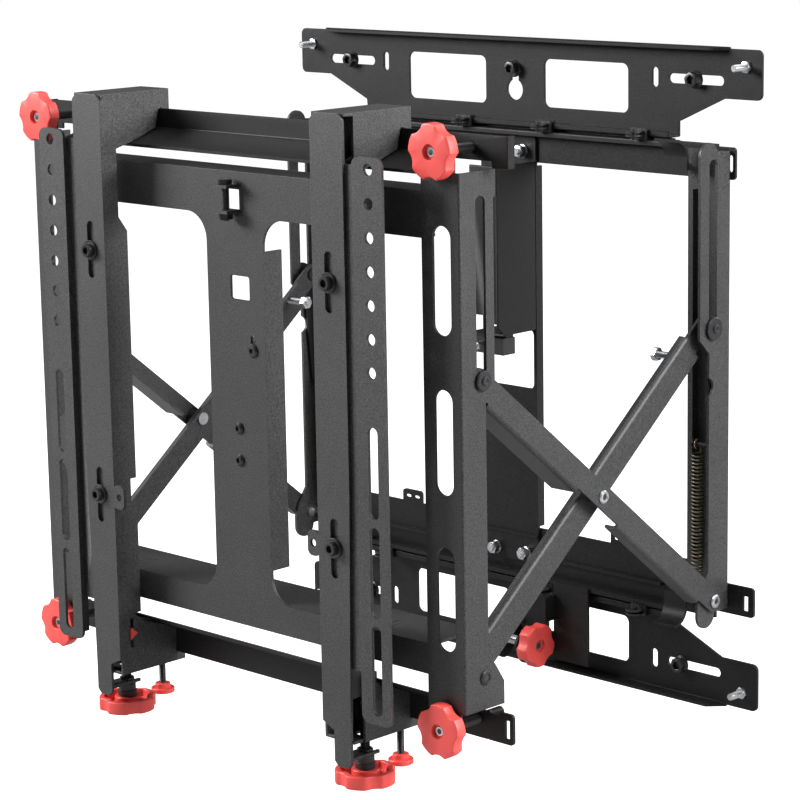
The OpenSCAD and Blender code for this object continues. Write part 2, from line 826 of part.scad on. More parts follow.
module cross_frame() {
    top = 190;
    bar_low = 155;
    low_top = -152;
    low = -176;
    r = 22;
    c = column_half;
    color(steel_black) {
        front_sheet(frame_y) difference() {
            union() {
                box2(-bar_half, bar_low, bar_half, top);
                box2(-bar_half, low, bar_half, low_top);
                box2(-c, low, c, top);
                for (sx = [-1, 1]) {
                    corner_fillet(sx * c, bar_low, sx, -1, r);
                    corner_fillet(sx * c, low_top, sx, 1, r);
                }
            }
            box2(-6, 89, 16, 108, 2);
            translate([18.5, 50]) circle(d = 9, $fn = 32);
            slot2(18.5, 50, 62, 5.4);
            for (z = [-14.5, -40.4]) {
                translate([0, z]) circle(d = 5, $fn = 32);
            }
            box2(-7, 160, 7, 176);
        }
        for (x = [-c, c - sheet]) {
            block([x, frame_y + sheet, low_top + r + 4], [x + sheet, frame_y + 20, bar_low - r - 4]);
        }
        for (s = [-1, 1]) {
            block([min(s * (c + r + 2), s * (bar_half - 4)), frame_y + sheet, bar_low],
                  [max(s * (c + r + 2), s * (bar_half - 4)), frame_y + 13, bar_low + sheet]);
        }
        block([-bar_half + 4, frame_y + sheet, top - sheet], [bar_half - 4, frame_y + 30, top]);
        difference() {
            block([-bar_half + 4, frame_y + sheet, low_top - sheet],
                  [bar_half - 4, frame_y + 52, low_top]);
            for (x = [-150, -143, 143, 150]) {
                block([x - 0.8, frame_y + 14, low_top - 2 * sheet], [x + 0.8, frame_y + 30, low_top + 1]);
            }
        }
        for (z = [158, 178]) {
            difference() {
                block([-8, frame_y - 14, z], [8, frame_y, z + sheet]);
                pin_z(z - 1, z + sheet + 1, 0, frame_y - 8, 6 + 2 * run_gap);
            }
        }
    }
}

module frame_screws() {
    color(plastic_black) {
        pin_y(frame_y - 2.4, frame_y, 18.5, 50, 11);
        pin_y(frame_y, frame_y + 6, 18.5, 50, 5);
        for (z = [-14.5, -40.4]) {
            difference() {
                pin_y(frame_y - 2.6, frame_y, 0, z, 9.6);
                pin_y(frame_y - 3, frame_y - 1.2, 0, z, 4);
            }
            pin_y(frame_y, frame_y + 6, 0, z, 5);
        }
    }
}

module level_bolt() {
    y = frame_y - 8;
    color(plastic_black) {
        pin_z(152, 178 + sheet, 0, y, 6);
        translate([0, y, 178 + sheet]) cylinder(h = 4, d = 10 / cos(30), $fn = 6);
        difference() {
            translate([0, y, 153.2]) cylinder(h = 4.8, d = 10 / cos(30), $fn = 6);
            pin_z(150, 162, 0, y, 6);
        }
    }
}

// Display rails

module display_rail_top() {
    b = rail_y;
    color(steel_black) difference() {
        union() {
            side_sheet(-203, 406) polygon([
                [b + sheet, 230], [b, 230], [b, 214.6], [b - 31.7, 204.4],
                [b - 31.7, 201.8], [b + sheet, 212.7]
            ]);
            front_sheet(b) {
                box2(203, 211, 247, 230);
                box2(246, 206, rail_half, 230);
                box2(-247, 211, -203, 230);
                box2(-rail_half, 206, -246, 230);
            }
            for (s = [-1, 1]) {
                block([min(s * (rail_half - sheet), s * rail_half), b + sheet, 206],
                      [max(s * (rail_half - sheet), s * rail_half), b + 7.5, 230]);
            }
        }
        for (x = [-knob_x, knob_x]) {
            pin_y(b - 1, b + sheet + 1, x, knob_z[0], 8 + 2 * run_gap);
        }
    }
}

module display_rail_bottom() {
    b = rail_y;
    color(steel_black) difference() {
        union() {
            side_sheet(-203, 406) polygon([
                [b, -228], [b + sheet, -228], [b + sheet, -204.3], [b - 31.7, -190.3],
                [b - 31.7, -193], [b, -206]
            ]);
            front_sheet(b) difference() {
                union() {
                    box2(203, -228, 236, -206);
                    box2(235, -228, rail_half, -204, 3);
                    box2(-236, -228, -203, -206);
                    box2(-rail_half, -228, -235, -204, 3);
                }
                for (x = [-256, 256]) {
                    box2(x - 2.4, -224, x + 2.4, -209);
                }
                for (x = [-243, 243]) {
                    wide_slot2(x - 5, x + 5, -204.4, 5);
                }
            }
        }
        for (x = [-knob_x, knob_x]) {
            pin_y(b - 1, b + sheet + 1, x, knob_z[1], 8 + 2 * run_gap);
        }
    }
}

// screw that sets the depth of one corner of the rails
module depth_screw(x, z) {
    color(plastic_black) {
        pin_y(front_y - star_t + 0.5, rail_y + 26, x, z, 8);
        pin_y(front_y - 2, front_y - 0.3, x, z, 26);
        pin_y(front_y + sheet + 0.3, front_y + sheet + 2, x, z, 13);
    }
}

module depth_knob(x, z) {
    color(plastic_red) translate([x, front_y - 2, z]) rotate([90, 0, 0]) star(star_d, star_t, 8);
}

// Display arms

// side plate of a hook bracket in Y and Z
module hook_side_top(front) {
    polygon([
        [front, 243], [-289, 243], [-289, 218], [-297, 218], [-297, 230.4], [-300.5, 230.4],
        [-304.5, 214.6], [-331.7, 205], [-346.5, 201], [-346.5, 197], [front, 197]
    ]);
}

module hook_side_bottom(front) {
    polygon([
        [front, -184.5], [-347, -184.5], [-333, -194.5], [-310, -203], [-300.5, -207.5],
        [-300.5, -228.4], [-291, -228.4], [-291, -236], [front, -236]
    ]);
}

// mid part of the inner side plate
module hook_side_mid() {
    back = arm_y + 24;
    polygon([
        [arm_y + sheet, -185], [back, -185], [back, 134], [-346.5, 146],
        [-346.5, 198], [arm_y + sheet, 198]
    ]);
}

module hook_bracket(s) {
    out = arm_in + 34.5;
    color(steel_black) side_of(s) {
        front_sheet(arm_y) difference() {
            union() {
                polygon([
                    [arm_in + 6, 245.5], [out - 5, 245.5], [out, 240.5], [out, -40],
                    [out - 4, -228], [out - 4, -252], [out - 8, -256], [out - 18, -256],
                    [out - 22, -252], [out - 22, -228], [arm_in, -222], [arm_in, 240]
                ]);
                difference() {
                    box2(arm_in - 12, -93, arm_in + 1, -73, 5);
                    translate([arm_in - 6, -83]) circle(d = 6, $fn = 32);
                }
            }
            slot2(arm_mid, 96.5, 143, 8.5);
            slot2(arm_mid, -107, -60.5, 8.5);
        }
        side_sheet(arm_in) difference() {
            union() {
                hook_side_top(arm_y + sheet);
                hook_side_mid();
                hook_side_bottom(arm_y + sheet);
            }
            box2(arm_y + 12, -214, arm_y + 15.5, -189);
            box2(arm_y + 18, -95, arm_y + 30, -71);
        }
        side_sheet(out - sheet) {
            hook_side_top(-350);
            hook_side_bottom(-350);
        }
        block([arm_in, arm_y + sheet, 243], [out, rail_lock_y + 10, 243 + sheet]);
        difference() {
            block([arm_in + sheet, arm_y + sheet, -236], [out - sheet, rail_lock_y + 8, -236 + sheet]);
            pin_z(-240, -230, arm_mid + 4, arm_y + 24, 14);
            pin_z(-240, -230, screw_x, rail_lock_y, 6 + 2 * run_gap);
        }
        difference() {
            block([arm_mid - 3, arm_y + sheet, -250.5], [arm_mid + 11, arm_y + 33, -248]);
            pin_z(-252, -246, arm_mid + 4, arm_y + 24, 9);
            block([arm_mid - 0.5, arm_y + 24, -252], [arm_mid + 8.5, arm_y + 40, -246]);
        }
    }
}

module adapter(s) {
    y = adapter_y;
    in = arm_in + 8;
    bend = hole_x - 17;
    out = hole_x + 14;
    inner_y = arm_y + sheet + 0.2;
    color(steel_black) side_of(s) {
        front_sheet(y) difference() {
            box2(bend, -213, out, 215.5, 7);
            for (i = [0 : 6]) {
                translate([hole_x, 206.7 - hole_pitch * i]) circle(d = hole_d, $fn = 40);
            }
            for (z = [[-54, 16], [-130, -60], [-206, -136]]) {
                slot2(hole_x, z[0], z[1], 10);
            }
        }
        block([bend, y + sheet, -206], [bend + sheet, inner_y + sheet, 208.5]);
        front_sheet(inner_y) difference() {
            box2(in, -176, bend, 208.5, 3);
            for (z = [119.5, -83]) {
                translate([arm_mid, z]) circle(d = 6, $fn = 40);
            }
        }
        block([in, inner_y + sheet, -176], [in + sheet, inner_y + sheet + 5, 190]);
    }
}

// screws that clamp an adapter behind its hook bracket
module clamp_screws(s) {
    inner_y = arm_y + sheet + 0.2;
    color(steel_bright) side_of(s) for (z = [119.5, -83]) {
        pin_y(arm_y - 1.8, arm_y - 0.2, arm_mid, z, 16);
        difference() {
            pin_y(arm_y - 6.2, arm_y - 1.8, arm_mid, z, 11);
            hex_y(arm_y - 7, arm_y - 3.6, arm_mid, z, 5);
        }
        pin_y(arm_y - 1.8, inner_y + sheet + 6, arm_mid, z, 6);
        difference() {
            hex_y(inner_y + sheet, inner_y + sheet + 5, arm_mid, z, 10);
            pin_y(inner_y + sheet - 1, inner_y + sheet + 6, arm_mid, z, 6);
        }
    }
}

screw_x = arm_mid + 4;
screw_y = arm_y + 24;
rail_lock_y = screw_y + 39;

// threaded block on the height screw, with its red pointer
module height_nut(s) {
    inner_y = arm_y + sheet + 0.2;
    color(plastic_black) side_of(s) difference() {
        union() {
            block([screw_x - 9, screw_y - 9, -200], [screw_x + 9, screw_y + 5.5, -184]);
            block([screw_x - 9, inner_y, -200], [screw_x + 9, screw_y - 9, -176]);
        }
        pin_z(-202, -182, screw_x, screw_y, 8 + 2 * run_gap);
    }
    color(plastic_red) side_of(s) {
        side_sheet(arm_in - 1.5, 1.2)
            polygon([[arm_y + 11.5, -197], [arm_y + 11.5, -207], [arm_y + 18.5, -202]]);
        block([arm_in - 0.4, arm_y + 12.6, -203.5], [screw_x - 8, arm_y + 14.9, -198]);
    }
}

module height_screw(s) {
    color(plastic_black) side_of(s) {
        pin_z(-270.5, -160, screw_x, screw_y, 8);
        pin_z(-262, -250.8, screw_x, screw_y, 16);
        pin_z(-247.7, -245.7, screw_x, screw_y, 13);
    }
}

module height_knob(s) {
    color(plastic_red) side_of(s) translate([screw_x, screw_y, -262]) rotate([180, 0, 0]) {
        difference() {
            star(48, 11, 8);
            difference() {
                translate([0, 0, -1]) cylinder(h = 7, r = 17.5, $fn = fine);
                translate([0, 0, -2]) cylinder(h = 9, r = 11, $fn = fine);
            }
        }
    }
}

module rail_lock(s) {
    color(plastic_red) side_of(s) {
        pin_z(-268, -264, screw_x, rail_lock_y, 20);
        pin_z(-264, -260, screw_x, rail_lock_y, 13);
    }
    color(plastic_black) side_of(s) pin_z(-260, -228.3, screw_x, rail_lock_y, 6);
}

wall_plate(1);  // wall_plate_top
wall_plate(-1);  // wall_plate_bottom
wall_bolts();
levelling_studs();
back_rail_top();
back_rail_bottom();
glide_clips();
centre_spine();
spine_nuts();
latch_housing();
latch_block();
latch_screws();
latch_plunger();
wall_upright(-1);  // wall_upright_left
wall_upright(1);  // wall_upright_right
corner_hoods();
lock_bracket();
lock_knob();
lock_screw();
arm_a(-1);  // arm_a_left
arm_a(1);  // arm_a_right
arm_b(-1);  // arm_b_left
arm_b(1);  // arm_b_right
wall_pivot_pins();
centre_pins();
front_slot_pins();
wall_slot_pins();
front_pivot_pins();
spring_links();
springs();
spring_eyes();
front_upright(-1);  // front_upright_left
front_upright(1);  // front_upright_right
cross_frame();
frame_screws();
level_bolt();
display_rail_top();
display_rail_bottom();
depth_knob(-knob_x, knob_z[0]);  // depth_knob_tl
depth_knob(knob_x, knob_z[0]);  // depth_knob_tr
depth_knob(-knob_x, knob_z[1]);  // depth_knob_bl
depth_knob(knob_x, knob_z[1]);  // depth_knob_br
depth_screw(-knob_x, knob_z[0]);  // depth_screw_tl
depth_screw(knob_x, knob_z[0]);  // depth_screw_tr
depth_screw(-knob_x, knob_z[1]);  // depth_screw_bl
depth_screw(knob_x, knob_z[1]);  // depth_screw_br
hook_bracket(-1);  // hook_bracket_left
hook_bracket(1);  // hook_bracket_right
adapter(-1);  // adapter_left
adapter(1);  // adapter_right
clamp_screws(-1);  // clamp_screws_left
clamp_screws(1);  // clamp_screws_right
height_nut(-1);  // height_nut_left
height_nut(1);  // height_nut_right
height_screw(-1);  // height_screw_left
height_screw(1);  // height_screw_right
height_knob(-1);  // height_knob_left
height_knob(1);  // height_knob_right
rail_lock(-1);  // rail_lock_left
rail_lock(1);  // rail_lock_right
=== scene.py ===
import json
import math

import bmesh
import bpy
from mathutils import Matrix, Vector


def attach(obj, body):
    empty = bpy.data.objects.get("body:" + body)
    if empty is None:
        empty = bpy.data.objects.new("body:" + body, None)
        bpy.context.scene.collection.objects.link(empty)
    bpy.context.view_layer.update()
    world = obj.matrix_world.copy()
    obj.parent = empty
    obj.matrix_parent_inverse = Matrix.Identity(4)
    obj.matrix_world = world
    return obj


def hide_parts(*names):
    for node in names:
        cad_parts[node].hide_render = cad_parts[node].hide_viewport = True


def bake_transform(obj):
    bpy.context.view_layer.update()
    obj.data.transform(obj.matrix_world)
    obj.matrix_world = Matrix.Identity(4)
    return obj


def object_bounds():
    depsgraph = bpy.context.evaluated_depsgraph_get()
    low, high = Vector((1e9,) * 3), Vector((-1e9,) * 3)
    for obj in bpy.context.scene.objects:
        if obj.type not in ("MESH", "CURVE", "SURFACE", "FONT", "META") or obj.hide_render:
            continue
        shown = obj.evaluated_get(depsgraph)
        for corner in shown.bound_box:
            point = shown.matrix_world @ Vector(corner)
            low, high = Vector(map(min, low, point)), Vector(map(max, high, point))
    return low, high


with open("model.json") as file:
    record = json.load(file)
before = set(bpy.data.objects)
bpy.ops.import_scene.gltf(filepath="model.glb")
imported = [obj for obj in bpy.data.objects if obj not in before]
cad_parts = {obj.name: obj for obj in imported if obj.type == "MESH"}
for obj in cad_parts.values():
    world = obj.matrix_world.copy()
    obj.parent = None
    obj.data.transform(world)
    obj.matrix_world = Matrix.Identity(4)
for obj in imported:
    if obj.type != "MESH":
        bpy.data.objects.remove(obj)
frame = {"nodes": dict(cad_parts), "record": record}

LOW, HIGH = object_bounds()
MM = 0.001
BODY_OF = {node: body for body, nodes in frame["record"]["behaviour"]["bodies"].items() for node in nodes}

# directions
UP = (0, 0, 1)
DOWN = (0, 0, -1)
LEFT = (-1, 0, 0)
RIGHT = (1, 0, 0)
FRONT = (0, -1, 0)

# sizes and places, in millimetres
SHEET = 2.5            # every steel sheet
BEND_R = 1.9           # outer radius of a fold
FOLD_IN_R = 0.7        # inner radius of a fold
CUT_R = 0.22           # softened edge of a cut sheet
GAP = 0.3              # air under a washer or a rivet head
ARM_Y = -362.0         # front face of the hook brackets
ARM_MID = 138.0        # slots and clamp screws of the hook brackets
CLAMP_Z = (119.5, -83.0)
FRONT_Y = -333.0       # front face of the front uprights
FRAME_Y = -330.5       # front face of the cross frame
PAD_Y = -12.0          # front face of the centre spine
BOLT_X_TOP = 197.0     # outer wall bolts of the upper plate, from the middle
BOLT_X_LOW = 184.0
BOLT_Z = 246.5         # outer wall bolts; the middle ones sit a little further out
BOLT_Z_MID = 247.0
STUD_X = 248.0
STUD_Z = 258.7
SPINE_BOLT_X = 17.5
SPINE_BOLT_Z = (178.5, -175.5)

# pivots and other axes along X, as Y and Z
WALL_PIN = (-31.6, -175.0)
WALL_SLOT_PIN = (-31.6, 51.0)
FRONT_PIN = (-311.0, -175.0)
FRONT_SLOT_PIN = (-311.0, 51.0)
CENTRE_PIN = (-171.3, -62.0)
STOP_BOLT = (-61.4, 30.6)
LOCK_AXIS = (-42.0, -246.0)
PIN_R = 4.0            # pivot pins
CORE_R = 3.0           # riveted ends of the sliding pins
BUSH_R = 5.0           # bushes that run in the slots

# faces of the sheets that the pins pass, from the middle; the inner ones but for the first
WALL_FLANGE_X = 238.5
ARM_A_X = 239.0
ARM_B_X = 226.5
FRONT_FLANGE_X = 242.0

# springs
SPRING_AT = (217.0, -23.5)
SPRING_POSTS = (-175.0, -48.0)
COIL_ENDS = (-159.0, -56.0)
COIL_R = 4.5
COIL_TURNS = 33
WIRE_R = 0.7
HOOK_R = 3.9

# knobs and their screws
KNOB_X = 226.0
KNOB_Z = {"t": 220.4, "b": -213.5}
KNOB_D = 42.0
KNOB_T = 10.0
NOTCH_R = 12.0         # notches between the lobes of a star knob
NOTCH_OUT = 9.2        # their middles, outside the knob's rim
RECESS = 3.0           # depth of the round recess in a knob's face
HEIGHT_X = 142.0       # height screws and rail locks, from the middle
HEIGHT_Y = -338.0
HEIGHT_KNOB_Z = -262.0
HEIGHT_KNOB_D = 48.0
HEIGHT_KNOB_T = 11.0
RAIL_LOCK_Y = -299.0
LOCK_KNOB_X = 48.3
LOCK_KNOB_D = 38.0
LOCK_KNOB_T = 12.0
LATCH_Y = -43.0


# materials
def nodes_of(material):
    material.use_nodes = True
    tree = material.node_tree
    return tree, tree.nodes["Principled BSDF"]


def noise(tree, scale, detail=3.0, rough=0.6):
    place = tree.nodes.new("ShaderNodeTexCoord")
    n = tree.nodes.new("ShaderNodeTexNoise")
    n.inputs["Scale"].default_value = scale
    n.inputs["Detail"].default_value = detail
    n.inputs["Roughness"].default_value = rough
    tree.links.new(place.outputs["Object"], n.inputs["Vector"])
    return n


def ramp(tree, source, stops):
    r = tree.nodes.new("ShaderNodeValToRGB")
    while len(r.color_ramp.elements) < len(stops):
        r.color_ramp.elements.new(0.5)
    for element, (at, colour) in zip(r.color_ramp.elements, stops):
        element.position = at
        element.color = tuple(colour) + (1.0,) if len(colour) == 3 else colour
    tree.links.new(source, r.inputs["Fac"])
    return r


def grey(v):
    return (v, v, v)


def spread(tree, source, low, high):
    m = tree.nodes.new("ShaderNodeMapRange")
    m.inputs["From Min"].default_value = 0.3
    m.inputs["From Max"].default_value = 0.7
    m.inputs["To Min"].default_value = low
    m.inputs["To Max"].default_value = high
    tree.links.new(source, m.inputs["Value"])
    return m


def bump(tree, source, shader, strength, depth):
    b = tree.nodes.new("ShaderNodeBump")
    b.inputs["Strength"].default_value = strength
    b.inputs["Distance"].default_value = depth
    tree.links.new(source, b.inputs["Height"])
    tree.links.new(b.outputs["Normal"], shader.inputs["Normal"])
    return b


def powder_coat(name, dark, light, grain, rough, strength, gleam=0.5):
    """Black powder coat: fine orange-peel grain, paler specks and slow changes of gloss."""
    m = bpy.data.materials.new(name)
    tree, shader = nodes_of(m)
    fine = noise(tree, grain, 4.0, 0.65)
    slow = noise(tree, 14.0, 3.0, 0.5)
    specks = ramp(tree, fine.outputs["Fac"], [
        (0.0, [c * 0.6 for c in dark]), (0.42, dark), (0.56, light), (0.75, [c * 1.7 for c in light])])
    cloud = ramp(tree, slow.outputs["Fac"], [(0.3, grey(0.86)), (0.7, grey(1.08))])
    mix = tree.nodes.new("ShaderNodeMix")
    mix.data_type = "RGBA"
    mix.blend_type = "MULTIPLY"
    mix.inputs["Factor"].default_value = 1.0
    tree.links.new(specks.outputs["Color"], mix.inputs["A"])
    tree.links.new(cloud.outputs["Color"], mix.inputs["B"])
    tree.links.new(mix.outputs["Result"], shader.inputs["Base Color"])
    gloss = spread(tree, fine.outputs["Fac"], rough - 0.07, rough + 0.1)
    tree.links.new(gloss.outputs["Result"], shader.inputs["Roughness"])
    shader.inputs["Specular IOR Level"].default_value = gleam
    bump(tree, fine.outputs["Fac"], shader, strength, 0.0004)
    return m


def plastic(name, colour, rough, grain=1500.0, strength=0.06):
    """Moulded plastic with a faint skin texture and a slightly uneven tone."""
    m = bpy.data.materials.new(name)
    tree, shader = nodes_of(m)
    slow = noise(tree, 60.0, 2.0, 0.5)
    tone = ramp(tree, slow.outputs["Fac"], [
        (0.3, [c * 0.9 for c in colour]), (0.7, [min(1.0, c * 1.05) for c in colour])])
    tree.links.new(tone.outputs["Color"], shader.inputs["Base Color"])
    fine = noise(tree, grain, 2.0, 0.5)
    gloss = spread(tree, fine.outputs["Fac"], rough - 0.05, rough + 0.08)
    tree.links.new(gloss.outputs["Result"], shader.inputs["Roughness"])
    bump(tree, fine.outputs["Fac"], shader, strength, 0.0003)
    return m


def metal(name, colour, rough, metallic=1.0):
    """Plated steel with faint blotches and fine scratches in its gloss."""
    m = bpy.data.materials.new(name)
    tree, shader = nodes_of(m)
    slow = noise(tree, 220.0, 3.0, 0.6)
    tone = ramp(tree, slow.outputs["Fac"], [
        (0.3, [c * 0.78 for c in colour]), (0.7, colour)])
    tree.links.new(tone.outputs["Color"], shader.inputs["Base Color"])
    fine = noise(tree, 2200.0, 3.0, 0.6)
    gloss = spread(tree, fine.outputs["Fac"], rough - 0.06, rough + 0.12)
    tree.links.new(gloss.outputs["Result"], shader.inputs["Roughness"])
    bump(tree, fine.outputs["Fac"], shader, 0.08, 0.0002)
    shader.inputs["Metallic"].default_value = metallic
    return m


# One black powder coat in lit and shaded copies. The wall plates and rails are painted darker as painted
# shade near the wall, the hook brackets and adapters at the front are painted lighter as painted light, and
# the frame sits between.
COAT_WALL_SHADED = powder_coat("coat_wall", grey(0.003), grey(0.009), grain=700.0, rough=0.50, strength=0.35,
                        gleam=0.28)
COAT_RAIL_SHADED = powder_coat("coat_rail_painted_shade", grey(0.006), grey(0.013), grain=800.0, rough=0.44, strength=0.35,
                        gleam=0.25)
COAT_FRAME_MID_LIGHT = powder_coat("coat_frame", grey(0.012), grey(0.038), grain=850.0, rough=0.44, strength=0.45)
COAT_ARM_LIT = powder_coat("coat_arm", grey(0.013), grey(0.050), grain=950.0, rough=0.46, strength=0.6)
RED = plastic("red_plastic", (0.80, 0.075, 0.065), rough=0.42)
BLACK_PLASTIC = plastic("black_plastic", grey(0.020), rough=0.40)
# Dark grey that stands for the shade inside screw sockets and rivet hollows: painted shade.
SOCKET_SHADE = plastic("painted_socket_shade", grey(0.030), rough=0.50)
ZINC = metal("zinc", (0.62, 0.63, 0.65), rough=0.30)
BLACK_ZINC = metal("black_zinc", (0.055, 0.055, 0.058), rough=0.32, metallic=0.75)
WIRE = metal("spring_wire", (0.34, 0.29, 0.21), rough=0.34)


# meshes
def finish_mesh(name, bm, materials, smooth_deg=32.0):
    mesh = bpy.data.meshes.new(name)
    bmesh.ops.recalc_face_normals(bm, faces=bm.faces)
    bm.to_mesh(mesh)
    bm.free()
    for m in materials:
        mesh.materials.append(m)
    for p in mesh.polygons:
        p.use_smooth = True
    mesh.set_sharp_from_angle(angle=math.radians(smooth_deg))
    obj = bpy.data.objects.new(name, mesh)
    bpy.context.scene.collection.objects.link(obj)
    return obj


def turned_to(axis):
    """Rotation that carries local Z to an axis of the frame."""
    return Vector((0, 0, 1)).rotation_difference(Vector(axis)).to_matrix().to_4x4()


def polar_ring(radius, height, sides, spin=0.0):
    """Ring of points about Z; radius is a number or a function of the angle."""
    points = []
    for k in range(sides):
        a = 2 * math.pi * k / sides
        r = radius(a) if callable(radius) else radius
        points.append((r * math.cos(a + spin), r * math.sin(a + spin), height))
    return points


class Shape:
    """A piece put together from several closed forms, all in millimetres."""

    def __init__(self, name, materials):
        self.name = name
        self.materials = materials
        self.bm = bmesh.new()

    def grid(self, rings, closed_ends=True, material=0, place=None):
        """Skin over rings of points, each ring closed on itself."""
        place = place or Matrix.Identity(4)
        made = [[self.bm.verts.new(place @ Vector(p)) for p in ring] for ring in rings]
        faces = []
        n = len(rings[0])
        for a, b in zip(made, made[1:]):
            for k in range(n):
                faces.append(self.bm.faces.new((a[k], a[(k + 1) % n], b[(k + 1) % n], b[k])))
        if closed_ends:
            faces.append(self.bm.faces.new(list(reversed(made[0]))))
            faces.append(self.bm.faces.new(made[-1]))
        for f in faces:
            f.material_index = material

    def turned(self, profile, at, axis, material=0, sides=48):
        """Turned solid: profile is a list of (radius, height) from one end to the other."""
        rings = [polar_ring(max(r, 0.01), h, sides) for r, h in profile]
        self.grid(rings, True, material, Matrix.Translation(at) @ turned_to(axis))

    def hexagon(self, flats, low, high, at, axis, material=0, socket=0.0, depth=0.0,
                chamfer_low=False, spin=0.0):
        """Hexagonal head or nut with chamfered corners, and a hexagonal socket if asked."""
        sides = 72
        cone = flats / 2 * 0.97

        def radius(a):
            rest = (a + math.pi / 6) % (math.pi / 3) - math.pi / 6
            return flats / 2 / math.cos(rest)

        def chamfered(h, sign):
            points = polar_ring(radius, h, sides, spin)
            return [(x, y, h - max(0.0, math.hypot(x, y) - cone) * 0.55 * sign) for x, y, _ in points]

        if chamfer_low:
            rings = [polar_ring(cone, low, sides, spin), chamfered(low, -1)]
        else:
            rings = [polar_ring(radius, low, sides, spin)]
        rings += [chamfered(high, 1), polar_ring(cone, high, sides, spin)]
        if socket:
            inner = polar_ring(lambda a: min(radius(a) * socket / flats, cone * 0.9), high, sides, spin)
            rings += [[(x * 1.12, y * 1.12, high) for x, y, _ in inner],
                      [(x, y, high - 0.3) for x, y, _ in inner],
                      [(x, y, high - depth) for x, y, _ in inner]]
        self.grid(rings, True, material, Matrix.Translation(at) @ turned_to(axis))

    def thread(self, diameter, low, high, at, axis, pitch=1.25, material=0, sides=28):
        """Threaded rod: the radius follows a helix, and both ends are chamfered."""
        steps = max(8, int((high - low) / pitch * 4))
        depth = 0.54 * pitch
        rings = []
        for i in range(steps + 1):
            h = low + (high - low) * i / steps
            end = min(h - low, high - h)

            def radius(a):
                phase = ((h - low) / pitch - a / (2 * math.pi)) % 1.0
                r = diameter / 2 - depth * (1 - abs(2 * phase - 1))
                return min(r, diameter / 2 - depth + end)

            rings.append(polar_ring(radius, h, sides))
        self.grid(rings, True, material, Matrix.Translation(at) @ turned_to(axis))

    def box(self, low, high, material=0):
        x0, y0, z0 = low
        x1, y1, z1 = high
        self.grid([[(x0, y0, z0), (x1, y0, z0), (x1, y1, z0), (x0, y1, z0)],
                   [(x0, y0, z1), (x1, y0, z1), (x1, y1, z1), (x0, y1, z1)]], True, material)

    def star(self, diameter, thick, at, axis, dish=False, material=0, bore=4.0, lobes=5,
             spin=0.0):
        """Star knob: shallow rounded notches, softened edges and a round recess in its face."""
        sides = lobes * 24
        outer = diameter / 2

        def rim(a):
            off = (a % (2 * math.pi / lobes)) - math.pi / lobes
            far = (outer + NOTCH_OUT) * math.sin(off)
            if abs(far) >= NOTCH_R:
                return outer
            return min(outer, (outer + NOTCH_OUT) * math.cos(off) - math.sqrt(NOTCH_R ** 2 - far ** 2))

        def ring(shrink, h):
            return polar_ring(lambda a: rim(a) - shrink, h, sides, spin)

        def circle(r, h):
            return polar_ring(r, h, sides)

        soft = 1.3
        rings = [circle(bore, 0.0), circle(outer * 0.62, 0.0), ring(soft, 0.0)]
        if dish:
            rings = [circle(8.1, 0.0), circle(10.4, 0.0), circle(10.9, 0.5), circle(11.0, 6.0),
                     ring(5.4, 6.0), ring(4.8, 0.5), ring(4.3, 0.0), ring(soft, 0.0)]
        for step in (30, 60, 90):
            a = math.radians(step)
            rings.append(ring(soft * (1 - math.sin(a)), soft * (1 - math.cos(a))))
        for step in (0, 30, 60, 90):
            a = math.radians(step)
            rings.append(ring(soft * (1 - math.cos(a)), thick - soft + soft * math.sin(a)))
        rings += [circle(6.1, thick), circle(5.7, thick - 0.4), circle(5.5, thick - RECESS),
                  circle(0.4, thick - RECESS)]
        self.grid(rings, True, material, Matrix.Translation(at) @ turned_to(axis))

    def screw_end(self, high, at, axis, bright=0, dark=1):
        """End of a screw seen in the recess of a knob; its hexagonal socket is a dark hexagon laid on the
        end, painted shade in place of a hole.
        """
        self.turned([(4.0, high - 2.0), (4.0, high - 0.5), (3.5, high)], at, axis, bright, 36)
        self.hexagon(4.4, high - 1.0, high + 0.05, at, axis, dark)

    def done(self, node):
        """Make the object, in place of its CAD node and on the same body."""
        self.bm.transform(Matrix.Scale(MM, 4))
        obj = finish_mesh(self.name, self.bm, self.materials)
        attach(obj, BODY_OF[node])
        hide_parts(node)


# folded sheets
CREASE = math.radians(50)    # an edge sharper than this is a fold or a cut edge
SHORT = 3.0                  # mm; shorter edges are never folds


